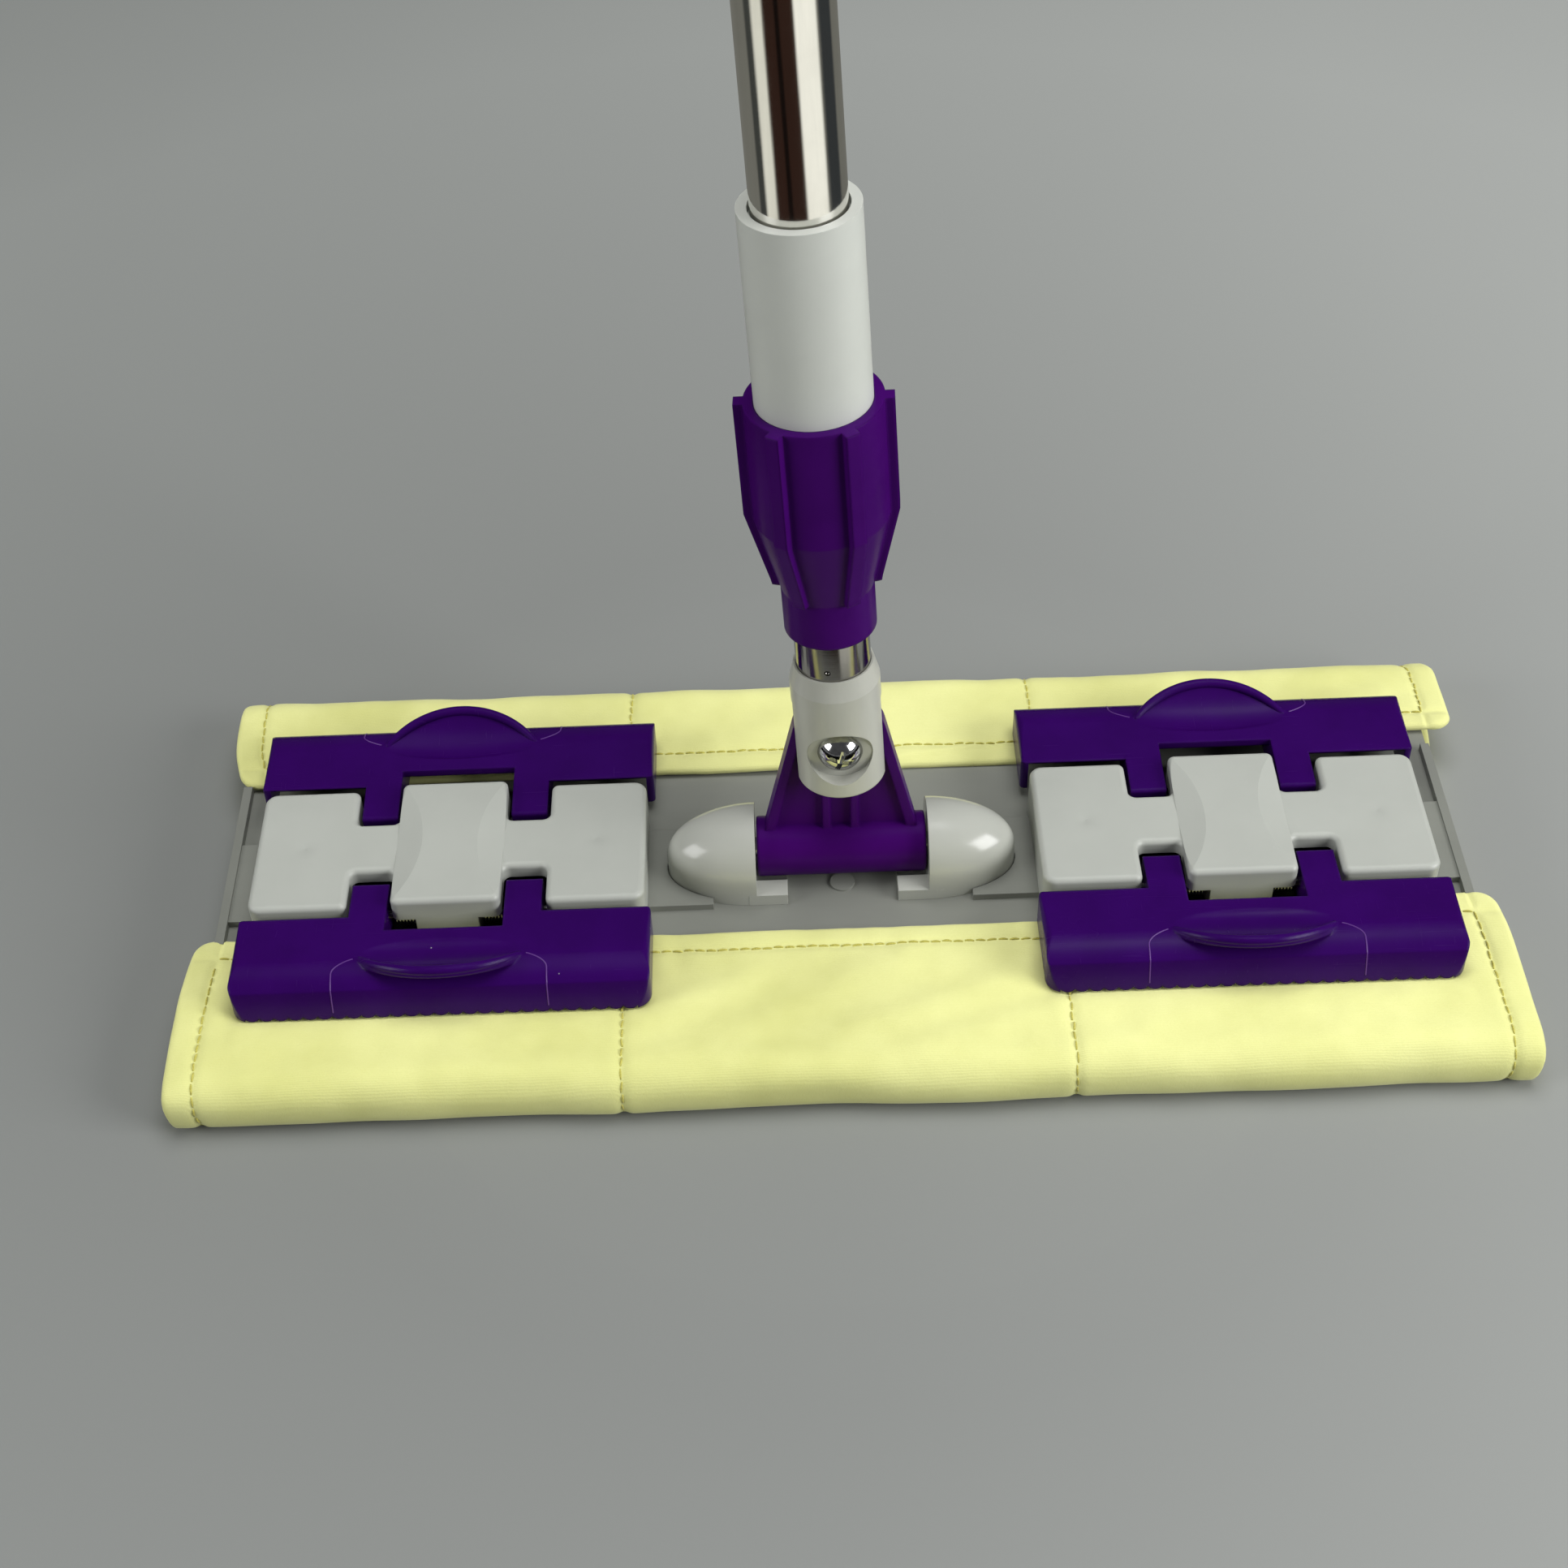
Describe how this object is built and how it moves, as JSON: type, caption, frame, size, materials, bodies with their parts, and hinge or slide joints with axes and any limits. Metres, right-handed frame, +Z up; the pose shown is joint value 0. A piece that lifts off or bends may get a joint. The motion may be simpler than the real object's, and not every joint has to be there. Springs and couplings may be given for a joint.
{
  "type": "flat mop",
  "caption": "Flat floor mop: padded cloth held by sprung jaws on a ribbed plate, with a two-way swivel yoke and a telescopic twist-lock pole.",
  "frame": {"origin": "on the floor below the middle of the plate, at the bottom of the cloth", "axes": "+X along the plate, +Y to the back (the short flap of the cloth), +Z up"},
  "size_m": [0.402, 0.17, 0.759],
  "materials": {
    "plate_plastic": "satin moulded grey",
    "cover_plastic": "satin moulded light grey",
    "bracket_plastic": "polished moulded light grey",
    "purple_plastic": "gloss moulded deep purple",
    "socket_plastic": "milky translucent nylon",
    "sleeve_plastic": "satin moulded pale grey",
    "cloth": "short brushed microfibre over a thin pad",
    "tube_steel": "polished stainless steel",
    "bright_chrome": "bright plated",
    "steel": "plain zinc-plated steel"
  },
  "bodies": {
    "head": {"base_plate": "plate_plastic", "mop_cloth": "cloth", "pivot_bracket_left": "bracket_plastic", "pivot_bracket_right": "bracket_plastic", "pivot_axle": "steel", "bracket_screws": "steel", "clip_cover_left": "cover_plastic", "clip_cover_right": "cover_plastic", "cover_screws_left": "steel", "cover_screws_right": "steel", "hinge_pin_front_left": "steel", "hinge_pin_back_left": "steel", "hinge_pin_front_right": "steel", "hinge_pin_back_right": "steel", "clip_springs_front_left": "steel", "clip_springs_back_left": "steel", "clip_springs_front_right": "steel", "clip_springs_back_right": "steel"},
    "yoke": {"pivot_yoke": "purple_plastic"},
    "lower_pole": {"pole_socket": "socket_plastic", "pivot_bolt": "bright_chrome", "pivot_nut": "steel", "inner_tube": "tube_steel", "inner_tube_bush": "socket_plastic"},
    "upper_pole": {"outer_tube": "tube_steel", "lock_sleeve": "sleeve_plastic", "handle_grip": "purple_plastic", "end_cap": "sleeve_plastic"},
    "collar": {"lock_collar": "purple_plastic"},
    "jaw_front_left": {"clip_jaw_front_left": "purple_plastic"},
    "jaw_back_left": {"clip_jaw_back_left": "purple_plastic"},
    "jaw_front_right": {"clip_jaw_front_right": "purple_plastic"},
    "jaw_back_right": {"clip_jaw_back_right": "purple_plastic"}
  },
  "joints": [
    {"name": "yoke_tilt", "type": "hinge", "parent": "head", "child": "yoke", "pos_m": [0, 0, 0.0252], "axis": [1, 0, 0], "range_deg": [-74, 76]},
    {"name": "pole_swing", "type": "hinge", "parent": "yoke", "child": "lower_pole", "pos_m": [0, 0.00236, 0.07094], "axis": [0, 0.9987, -0.0515], "range_deg": [-58, 62]},
    {"name": "pole_extend", "type": "slide", "parent": "lower_pole", "child": "upper_pole", "axis": [-0.0431, 0.0514, 0.9977], "range_m": [0, 0.42]},
    {"name": "collar_twist", "type": "hinge", "parent": "upper_pole", "child": "collar", "pos_m": [-0.00341, 0.00642, 0.14976], "axis": [-0.0431, 0.0514, 0.9977], "range_deg": [0, 180]},
    {"name": "jaw_open_front_left", "type": "hinge", "parent": "head", "child": "jaw_front_left", "pos_m": [-0.1204, -0.019, 0.02075], "axis": [-1, 0, 0], "range_deg": [0, 36], "stiffness_Nm_per_rad": 0.15, "springref_deg": -60.16, "deforming": ["clip_springs_front_left"]},
    {"name": "jaw_open_back_left", "type": "hinge", "parent": "head", "child": "jaw_back_left", "pos_m": [-0.1204, 0.019, 0.02075], "axis": [1, 0, 0], "range_deg": [0, 36], "stiffness_Nm_per_rad": 0.15, "springref_deg": -60.16, "deforming": ["clip_springs_back_left"]},
    {"name": "jaw_open_front_right", "type": "hinge", "parent": "head", "child": "jaw_front_right", "pos_m": [0.1204, -0.019, 0.02075], "axis": [-1, 0, 0], "range_deg": [0, 36], "stiffness_Nm_per_rad": 0.15, "springref_deg": -60.16, "deforming": ["clip_springs_front_right"]},
    {"name": "jaw_open_back_right", "type": "hinge", "parent": "head", "child": "jaw_back_right", "pos_m": [0.1204, 0.019, 0.02075], "axis": [1, 0, 0], "range_deg": [0, 36], "stiffness_Nm_per_rad": 0.15, "springref_deg": -60.16, "deforming": ["clip_springs_back_right"]}
  ]
}
